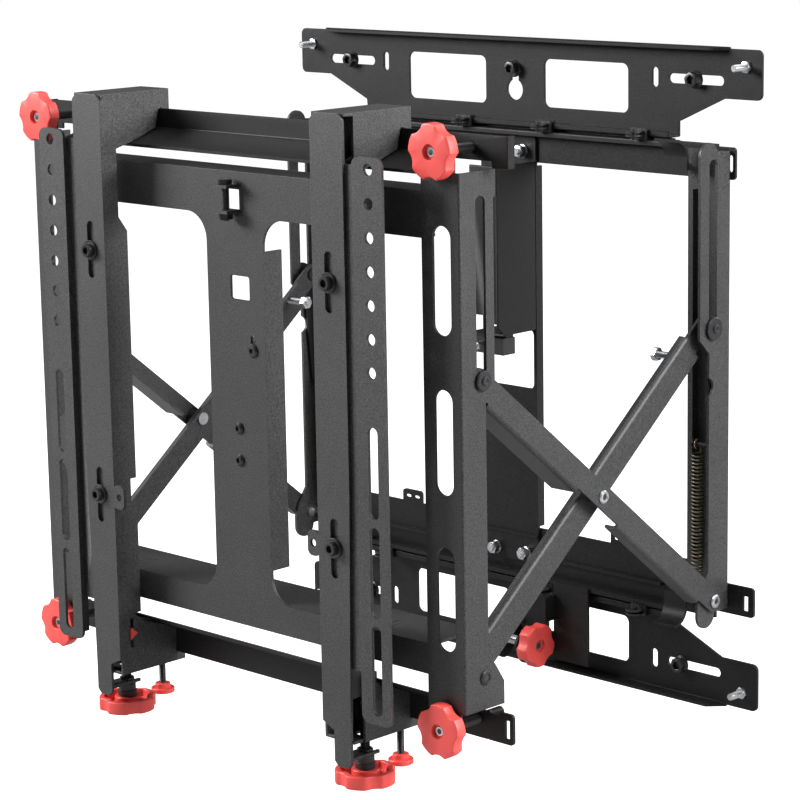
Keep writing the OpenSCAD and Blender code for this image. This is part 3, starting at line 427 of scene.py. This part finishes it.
def folded(node, material):
    """The CAD sheet with its folds rounded and its cut edges softened."""
    source = frame["nodes"][node]
    bm = bmesh.new()
    bm.from_mesh(source.data)
    bmesh.ops.remove_doubles(bm, verts=bm.verts, dist=2e-6)
    bmesh.ops.dissolve_limit(bm, angle_limit=math.radians(0.6), verts=bm.verts, edges=bm.edges)
    cut_width = (SHEET + 0.35) * MM

    def width(face):
        longest = max(e.calc_length() for e in face.edges)
        return face.calc_area() / max(longest, 1e-6)

    def is_fold(edge):
        if len(edge.link_faces) != 2 or edge.calc_face_angle(0.0) < CREASE:
            return False
        return min(width(f) for f in edge.link_faces) >= cut_width and edge.calc_length() > SHORT * MM

    folds = [e for e in bm.edges if is_fold(e)]
    outer = [e for e in folds if e.is_convex]
    inner = [e for e in folds if not e.is_convex]
    for group, radius, segments in ((outer, BEND_R, 4), (inner, FOLD_IN_R, 2)):
        edges = [e for e in group if e.is_valid]
        if edges:
            bmesh.ops.bevel(bm, geom=edges, offset=radius * MM, offset_type="OFFSET",
                            segments=segments, profile=0.5, affect="EDGES", clamp_overlap=True)
    edges = [e for e in bm.edges if len(e.link_faces) == 2 and e.calc_face_angle(0.0) > CREASE]
    if edges:
        bmesh.ops.bevel(bm, geom=edges, offset=CUT_R * MM, offset_type="OFFSET",
                        segments=1, profile=0.5, affect="EDGES", clamp_overlap=True)
    bmesh.ops.triangulate(bm, faces=[f for f in bm.faces if len(f.verts) > 4])
    obj = finish_mesh("sheet_" + node, bm, [material], 35.0)
    flat = obj.modifiers.new("flat_faces", "WEIGHTED_NORMAL")
    flat.keep_sharp = True
    flat.weight = 80
    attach(obj, BODY_OF[node])
    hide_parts(node)


# The coat given to each sheet sets its level of painted light or painted shade.
SHEETS = {
    COAT_WALL_SHADED: ("wall_plate_top", "wall_plate_bottom", "latch_housing", "lock_bracket"),
    COAT_RAIL_SHADED: ("back_rail_top", "back_rail_bottom", "centre_spine",
                "corner_hoods", "spring_links", "display_rail_top", "display_rail_bottom"),
    COAT_FRAME_MID_LIGHT: ("front_upright_left", "front_upright_right", "wall_upright_left",
                 "wall_upright_right", "cross_frame", "arm_a_left", "arm_a_right", "arm_b_left",
                 "arm_b_right"),
    COAT_ARM_LIT: ("hook_bracket_left", "hook_bracket_right", "adapter_left", "adapter_right"),
}
for sheet_material, sheet_nodes in SHEETS.items():
    for node_name in sheet_nodes:
        folded(node_name, sheet_material)


# springs
def spring_hook(z, up):
    """Open hook round a post: up is 1 at the lower post and -1 at the upper one."""
    angles = [math.radians(up * (290 - 14.5 * i)) for i in range(19)]
    return [(0.0, HOOK_R * math.cos(a), z - HOOK_R * math.sin(a)) for a in angles]


def spring_path():
    """Middle line of a spring's wire, from the lower hook to the upper one."""
    low, high = COIL_ENDS
    low_post, high_post = SPRING_POSTS
    steps = 20 * COIL_TURNS
    coil = []
    for i in range(steps + 1):
        a = 2 * math.pi * i / 20
        coil.append((COIL_R * math.sin(a), COIL_R * math.cos(a), low + (high - low) * i / steps))
    path = spring_hook(low_post, 1) + [(0, HOOK_R, low_post + 5), (0, COIL_R, low - 3.5)]
    path += coil + [(0, COIL_R, high + 3.5), (0, HOOK_R, high_post - 4)]
    path += list(reversed(spring_hook(high_post, -1)))
    return [Vector(p) for p in path]


def build_springs():
    sides = 8
    path = spring_path()
    s = Shape("coil_springs", [WIRE])
    for side in (-1, 1):
        place = Vector((side * SPRING_AT[0], SPRING_AT[1], 0))
        normal = None
        rings = []
        for i, p in enumerate(path):
            run = (path[min(i + 1, len(path) - 1)] - path[max(i - 1, 0)]).normalized()
            if normal is None:
                normal = run.cross(Vector((1, 0, 0)))
            normal = (normal - run * normal.dot(run)).normalized()
            other = run.cross(normal)
            rings.append([place + p + WIRE_R * (x * normal + y * other)
                          for x, y, _ in polar_ring(1.0, 0.0, sides)])
        s.grid(rings, True)
    s.bm.transform(Matrix.Scale(MM, 4))
    obj = finish_mesh(s.name, s.bm, s.materials, 60.0)
    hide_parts("springs", "spring_eyes")
    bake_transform(obj)


build_springs()


# knobs and their screws
def depth_corner(corner):
    """Knob and screw that set the depth of one corner of the rails."""
    x = KNOB_X * (-1 if corner[1] == "l" else 1)
    z = KNOB_Z[corner[0]]
    k = Shape("knob_" + corner, [RED])
    k.star(KNOB_D, KNOB_T, (x, FRONT_Y - 2, z), FRONT, spin=math.radians(18))
    k.done("depth_knob_" + corner)
    s = Shape("rod_" + corner, [BLACK_ZINC, ZINC, SOCKET_SHADE])
    at = (x, 0, z)
    face = -FRONT_Y
    behind = face - SHEET
    s.thread(8, 274, behind - 2, at, FRONT)
    s.turned([(3.9, behind - 2.5), (3.9, face + 8)], at, FRONT)
    s.screw_end(face + KNOB_T - 0.5, at, FRONT, 1, 2)
    s.turned([(12.4, face + GAP), (13, face + 0.6), (13, face + 1.7), (12.6, face + 2)], at, FRONT)
    s.turned([(6.2, behind - 2), (6.5, behind - 1.8), (6.5, behind - GAP)], at, FRONT)
    s.done("depth_screw_" + corner)


for corner_name in ("tl", "tr", "bl", "br"):
    depth_corner(corner_name)


def height_knob(side, x):
    """Height knob with its screw."""
    k = Shape("height_star_" + side, [RED])
    k.star(HEIGHT_KNOB_D, HEIGHT_KNOB_T, (x, HEIGHT_Y, HEIGHT_KNOB_Z), DOWN, dish=True,
           spin=math.radians(10))
    k.done("height_knob_" + side)
    at = (x, HEIGHT_Y, 0)
    s = Shape("height_rod_" + side, [BLACK_ZINC, BLACK_PLASTIC])
    s.thread(8, -245.7, -160, at, UP)
    s.turned([(4, HEIGHT_KNOB_Z), (4, -245.7)], at, UP)
    s.turned([(7.2, HEIGHT_KNOB_Z), (8, -261.2), (8, -257), (7.2, -256.4), (7.2, -251.4), (6.8, -250.8)],
             at, UP, 1)
    s.hexagon(11.4, -247.7, -245.7, at, UP)
    s.done("height_screw_" + side)


def rail_lock(side, x):
    """Small red knob on a thin screw that locks a hook bracket to the lower rail."""
    c = Shape("clamp_knob_" + side, [RED, BLACK_ZINC])
    c.turned([(9.4, 0), (10, 0.5), (10, 3.5), (9.6, 4), (6.6, 4.1), (6.5, 7.6), (6.1, 8)],
             (x, RAIL_LOCK_Y, -268), UP)
    c.thread(6, -260, -228.3, (x, RAIL_LOCK_Y, 0), UP, pitch=1.0, material=1)
    c.done("rail_lock_" + side)


def height_nut(side, sign):
    """Block that runs on the height screw, with its red pointer."""
    n = Shape("height_block_" + side, [BLACK_PLASTIC, RED])
    lo, hi = sorted((sign * (HEIGHT_X - 9), sign * (HEIGHT_X + 9)))
    n.box((lo, -347, -200), (hi, -332.5, -184))
    n.box((lo, -359.3, -200), (hi, -347, -176))
    lo, hi = sorted((sign * 119.0, sign * 120.2))
    n.grid([[(lo, -350.5, -197), (lo, -350.5, -207), (lo, -343.5, -202)],
            [(hi, -350.5, -197), (hi, -350.5, -207), (hi, -343.5, -202)]], True, 1)
    lo, hi = sorted((sign * 120.1, sign * 134.0))
    n.box((lo, -349.4, -203.5), (hi, -347.1, -198), 1)
    n.done("height_nut_" + side)


def clamp_bolts(side, sign):
    """Socket screws with washers and nuts that clamp a display arm to its hook bracket."""
    q = Shape("clamp_bolts_" + side, [ZINC, BLACK_ZINC])
    f = -ARM_Y
    for z in CLAMP_Z:
        at = (sign * ARM_MID, 0, z)
        q.turned([(7.6, f + 0.2), (8, f + 0.4), (8, f + 1.5), (7.7, f + 1.8)], at, FRONT, 1)
        q.turned([(5.5, f + 1.8), (5.5, f + 5.2), (4.9, f + 6.2), (3.1, f + 6.2), (2.9, f + 5.9),
                  (2.9, f + 3.4)], at, FRONT, 1)
        q.thread(6, f - 11.2, f + 1.8, at, FRONT, pitch=1.0)
        q.hexagon(10, f - 10.2, f - 5.2, at, FRONT, chamfer_low=True)
    q.done("clamp_screws_" + side)


for side_name, side_sign in (("left", -1), ("right", 1)):
    height_knob(side_name, side_sign * HEIGHT_X)
    rail_lock(side_name, side_sign * HEIGHT_X)
    height_nut(side_name, side_sign)
    clamp_bolts(side_name, side_sign)


def side_lock():
    """Red knob and screw of the sideways lock, along X."""
    lock = Shape("lock_star", [RED])
    lock.star(LOCK_KNOB_D, LOCK_KNOB_T, (LOCK_KNOB_X, *LOCK_AXIS), RIGHT)
    lock.done("lock_knob")
    at = (0, *LOCK_AXIS)
    rod = Shape("lock_rod", [ZINC, SOCKET_SHADE])
    rod.thread(8, 14, 45.3, at, RIGHT)
    rod.turned([(3.9, 45), (3.9, 56.5)], at, RIGHT)
    rod.screw_end(57.8, at, RIGHT, 0, 1)
    rod.hexagon(11, 12.7, 15.7, at, RIGHT, chamfer_low=True)
    rod.turned([(6.2, 45.3), (6.5, 45.6), (6.5, 47.7), (6.2, 48)], at, RIGHT)
    rod.done("lock_screw")


side_lock()


# bolts and nuts
def wall_bolts():
    wall = Shape("flange_bolts", [BLACK_ZINC])
    for x in (-1, 0, 1):
        for s in (-1, 1):
            at = (x * (BOLT_X_TOP if s > 0 else BOLT_X_LOW), 0, s * (BOLT_Z_MID if x == 0 else BOLT_Z))
            wall.turned([(3.8, GAP), (3.8, SHEET)], at, FRONT)
            wall.turned([(7.5, SHEET), (7.5, 3.0), (5.9, 4.3)], at, FRONT)
            wall.hexagon(11.5, 4.3, 10, at, FRONT, socket=6.4, depth=3.0, spin=0.3 * s + x)
    wall.done("wall_bolts")


def levelling_studs():
    studs = Shape("threaded_studs", [ZINC])
    for x in (-STUD_X, STUD_X):
        for z in (-STUD_Z, STUD_Z):
            studs.thread(6, GAP, 19, (x, 0, z), FRONT, pitch=1.0)
            studs.hexagon(9, SHEET, 4.5, (x, 0, z), FRONT, spin=0.4)
    studs.done("levelling_studs")


def spine_bolts():
    spine = Shape("spine_bolts", [ZINC])
    pad = -PAD_Y
    for x in (-SPINE_BOLT_X, SPINE_BOLT_X):
        for z in SPINE_BOLT_Z:
            at = (x, 0, z)
            spine.turned([(3.8, pad - 5.5), (3.8, pad)], at, FRONT)
            spine.turned([(5.5, pad), (5.75, pad + 0.2), (5.75, pad + 1.2), (5.5, pad + 1.4)], at, FRONT)
            spine.hexagon(9.5, pad + 1.4, pad + 7.4, at, FRONT, spin=0.2 * x)
            spine.thread(6, pad + 7.4, pad + 9.4, at, FRONT, pitch=1.0)
    spine.done("spine_nuts")


def frame_buttons():
    """Domed button screws on the centre column: a large one and two small ones."""
    small = Shape("frame_buttons", [BLACK_ZINC])
    f = -FRAME_Y
    large_head = [(5.5, f), (5.5, f + 0.8), (4.4, f + 2.0), (2.0, f + 2.4), (1.8, f + 1.1)]
    small_head = [(4.8, f), (4.7, f + 1.1), (3.4, f + 2.4), (2.1, f + 2.6), (1.9, f + 1.2)]
    for x, z, head in ((18.5, 50, large_head), (0, -14.5, small_head), (0, -40.4, small_head)):
        small.turned(head, (x, 0, z), FRONT)
        small.turned([(2.5, f - 6), (2.5, f)], (x, 0, z), FRONT)
    small.done("frame_screws")


def level_screw():
    level = Shape("level_screw", [BLACK_ZINC])
    at = (0, FRAME_Y - 8, 0)
    level.thread(6, 152, 180.5, at, UP, pitch=1.0)
    level.hexagon(10, 180.5, 184.5, at, UP)
    level.hexagon(10, 153.2, 158, at, UP, chamfer_low=True)
    level.done("level_bolt")


def latch_screws():
    latch = Shape("latch_screw_heads", [ZINC])
    for z in (18.0, 10.5):
        latch.turned([(1.6, 4.2), (1.6, 12), (3.2, 12), (3.1, 13.4), (2.2, 14.6), (1.2, 14.6), (1.1, 13.6)],
                     (0, LATCH_Y, z), LEFT)
    latch.done("latch_screws")


wall_bolts()
levelling_studs()
spine_bolts()
frame_buttons()
level_screw()
latch_screws()


# rivets and slot pins
def rivet(shape, x0, r, at, sign, length, core=2.4, material=0, hollow_shade=1):
    """Rivet head standing out from x0 towards the outside, with the middle of its recess filled in a darker
    material as painted shade.
    """
    place = (sign * x0, *at)
    outwards = (sign, 0, 0)
    shape.turned([(core * 1.02, length * 0.3), (core * 1.02, length * 0.62)], place, outwards, hollow_shade)
    shape.turned([(r, 0), (r, length * 0.45), (r * 0.82, length * 0.9), (r * 0.6, length),
                  (core + 0.5, length), (core, length * 0.7), (core * 0.9, length * 0.15)],
                 place, outwards, material)


def bar(shape, x0, x1, r, at, sign, material=0):
    """Plain round stretch of a pin along X."""
    shape.turned([(r, x0), (r, x1)], (0, *at), (sign, 0, 0), material)


def wall_pin(shape, sign):
    """Lower wall pivot, and the spring's lower post beside it."""
    head = ARM_A_X + SHEET + GAP
    bar(shape, WALL_FLANGE_X - 4.3, head, PIN_R, WALL_PIN, sign)
    rivet(shape, head, 5.5, WALL_PIN, sign, 2.3)
    post = (SPRING_AT[1], WALL_PIN[1])
    head = SPRING_AT[0] - 2.6
    bar(shape, head, WALL_FLANGE_X - SHEET, 2.5, post, sign)
    bar(shape, head - 1.4, head, 4, post, sign)


def centre_pin(shape, sign):
    """Middle pivot through both arms, with the spacer between them."""
    inner = ARM_B_X - GAP
    outer = ARM_A_X + SHEET
    bar(shape, inner, ARM_A_X, PIN_R, CENTRE_PIN, sign)
    bar(shape, inner - 2, inner, 5.5, CENTRE_PIN, sign)
    bar(shape, ARM_B_X + SHEET + GAP, ARM_A_X, 6.5, CENTRE_PIN, sign, 1)
    bar(shape, ARM_A_X, outer, CORE_R, CENTRE_PIN, sign)
    rivet(shape, outer, 5.25, CENTRE_PIN, sign, 2.2)


def front_pin(shape, sign):
    """Lower front pivot, with the spacer between the arm and the upright."""
    inner = ARM_B_X - GAP
    spacer = ARM_B_X + SHEET + GAP
    outer = FRONT_FLANGE_X + SHEET
    bar(shape, inner - 2, inner, 6, FRONT_PIN, sign)
    bar(shape, inner, spacer, PIN_R, FRONT_PIN, sign)
    bar(shape, spacer, FRONT_FLANGE_X, 8, FRONT_PIN, sign)
    bar(shape, FRONT_FLANGE_X, outer, PIN_R, FRONT_PIN, sign)
    rivet(shape, outer, 5.75, FRONT_PIN, sign, 2.2)


def slot_pin(shape, at, arm_x, flange_x, disc, sign):
    """Sliding pin: riveted to its arm, with a bush in the slot and a disc outside it."""
    out = flange_x + GAP
    bar(shape, arm_x - 2, arm_x, 5.5, at, sign)
    bar(shape, arm_x, arm_x + SHEET, CORE_R, at, sign)
    bar(shape, arm_x + SHEET, out, BUSH_R, at, sign)
    shape.turned([(disc - 0.5, out), (disc, out + 0.5), (disc, out + 2.0), (disc - 0.8, out + 2.8),
                  (3.8, out + 2.8)], (0, *at), (sign, 0, 0))
    rivet(shape, out + 2.8, 3.5, at, sign, 1.5, 1.5, 0, 0)


def stop_bolt(shape, sign):
    """Bolt and nut that stand inwards from an arm B."""
    at = (0, *STOP_BOLT)
    nut = ARM_B_X - 24.5
    shape.thread(6, nut - 1, ARM_B_X, at, (sign, 0, 0), pitch=1.0, material=1)
    shape.hexagon(10, nut, nut + 5, at, (sign, 0, 0), 1, chamfer_low=True)


def build_pins():
    # In the wall, centre and front rivets the hollow centres take the second material, darker than the
    # heads, as painted shade.
    wall_pins = Shape("wall_rivets", [ZINC, BLACK_ZINC])
    centre = Shape("centre_rivets", [ZINC, BLACK_ZINC])
    front_pins = Shape("front_rivets", [BLACK_ZINC, SOCKET_SHADE])
    front_slot = Shape("front_slot_discs", [BLACK_ZINC, ZINC])
    wall_slot = Shape("wall_slot_discs", [BLACK_ZINC, ZINC])
    for sign in (-1, 1):
        wall_pin(wall_pins, sign)
        centre_pin(centre, sign)
        front_pin(front_pins, sign)
        stop_bolt(wall_slot, sign)
        slot_pin(front_slot, FRONT_SLOT_PIN, ARM_A_X, FRONT_FLANGE_X + SHEET, 7.75, sign)
        slot_pin(wall_slot, WALL_SLOT_PIN, ARM_B_X, WALL_FLANGE_X, 9.5, sign)
    wall_pins.done("wall_pivot_pins")
    centre.done("centre_pins")
    front_pins.done("front_pivot_pins")
    front_slot.done("front_slot_pins")
    wall_slot.done("wall_slot_pins")


build_pins()

# CAD nodes that stay as they are
for node_name, node_material in (("glide_clips", BLACK_PLASTIC), ("latch_block", BLACK_PLASTIC),
                                 ("latch_plunger", ZINC)):
    data = frame["nodes"][node_name].data
    data.materials.clear()
    data.materials.append(node_material)

# floor, camera and light
scene = bpy.context.scene
scene.view_settings.view_transform = "Standard"

FLOOR_Z = LOW[2] - 0.03
FLOOR_REACH = 6.0
FLOOR_COLOUR = (0.42, 0.42, 0.42)
ROOM_LIGHT = 0.10


def white_floor(name, colour, glow):
    """Grey floor that glows to the camera alone, so that the background is white."""
    m = bpy.data.materials.new(name)
    tree, shader = nodes_of(m)
    shader.inputs["Base Color"].default_value = (*colour, 1)
    shader.inputs["Roughness"].default_value = 0.9
    shader.inputs["Emission Color"].default_value = (1, 1, 1, 1)
    path = tree.nodes.new("ShaderNodeLightPath")
    strength = tree.nodes.new("ShaderNodeMath")
    strength.operation = "MULTIPLY"
    strength.inputs[1].default_value = glow
    tree.links.new(path.outputs["Is Camera Ray"], strength.inputs[0])
    tree.links.new(strength.outputs[0], shader.inputs["Emission Strength"])
    return m


floor_mesh = bpy.data.meshes.new("floor")
corners = [(x * FLOOR_REACH, y * FLOOR_REACH, FLOOR_Z) for x, y in ((-1, -1), (1, -1), (1, 1), (-1, 1))]
floor_mesh.from_pydata(corners, [], [(0, 1, 2, 3)])
floor_mesh.materials.append(white_floor("floor_pale", FLOOR_COLOUR, 1.0))
floor = bpy.data.objects.new("floor", floor_mesh)
scene.collection.objects.link(floor)

# white to the camera, and much weaker as a light
world = bpy.data.worlds.new("studio")
scene.world = world
world.use_nodes = True
tree = world.node_tree
background = tree.nodes["Background"]
path = tree.nodes.new("ShaderNodeLightPath")
seen = tree.nodes.new("ShaderNodeMath")
seen.operation = "MAXIMUM"
tree.links.new(path.outputs["Is Camera Ray"], seen.inputs[0])
tree.links.new(path.outputs["Is Transmission Ray"], seen.inputs[1])
strength = tree.nodes.new("ShaderNodeMapRange")
strength.inputs["To Min"].default_value = ROOM_LIGHT
strength.inputs["To Max"].default_value = 1.0
tree.links.new(seen.outputs[0], strength.inputs["Value"])
tree.links.new(strength.outputs["Result"], background.inputs["Strength"])
background.inputs["Color"].default_value = (1, 1, 1, 1)


def lamp(name, at, to, size, power):
    data = bpy.data.lights.new(name, "AREA")
    data.shape = "RECTANGLE"
    data.size, data.size_y = size
    data.energy = power
    obj = bpy.data.objects.new(name, data)
    obj.location = at
    obj.rotation_euler = (Vector(to) - Vector(at)).to_track_quat("-Z", "Y").to_euler()
    scene.collection.objects.link(obj)


MIDDLE = (0.0, -0.18, 0.0)
lamp("key", (-1.5, -1.45, 1.0), (0.0, -0.34, 0.1), (0.9, 0.9), 80)
lamp("side", (2.2, 0.4, 1.0), (0.2, -0.15, 0.1), (1.4, 1.4), 104)
lamp("top", (0.2, -0.3, 2.0), MIDDLE, (1.6, 1.6), 20)
lamp("rear", (0.6, 2.2, 1.2), MIDDLE, (1.6, 1.6), 22)

# camera as solved from the photo, in metres; lens and sensor in millimetres
AZIMUTH = math.radians(44.62)
ELEVATION = math.radians(11.33)
ROLL = math.radians(-1.0)
LENS = 125.43
SENSOR = 36.0
CAMERA_AT = Vector((1.60843, -1.77904, 0.43904))
back = Vector((math.cos(ELEVATION) * math.sin(AZIMUTH), -math.cos(ELEVATION) * math.cos(AZIMUTH),
               math.sin(ELEVATION)))
right = Vector((math.cos(AZIMUTH), math.sin(AZIMUTH), 0))
up = back.cross(right)
camera_right = right * math.cos(ROLL) + up * math.sin(ROLL)
camera_up = up * math.cos(ROLL) - right * math.sin(ROLL)
camera_data = bpy.data.cameras.new("camera")
camera_data.sensor_width = SENSOR
camera_data.lens = LENS
camera = bpy.data.objects.new("camera", camera_data)
turn = Matrix((camera_right, camera_up, back)).transposed().to_4x4()
camera.matrix_world = Matrix.Translation(CAMERA_AT) @ turn
scene.collection.objects.link(camera)
scene.camera = camera
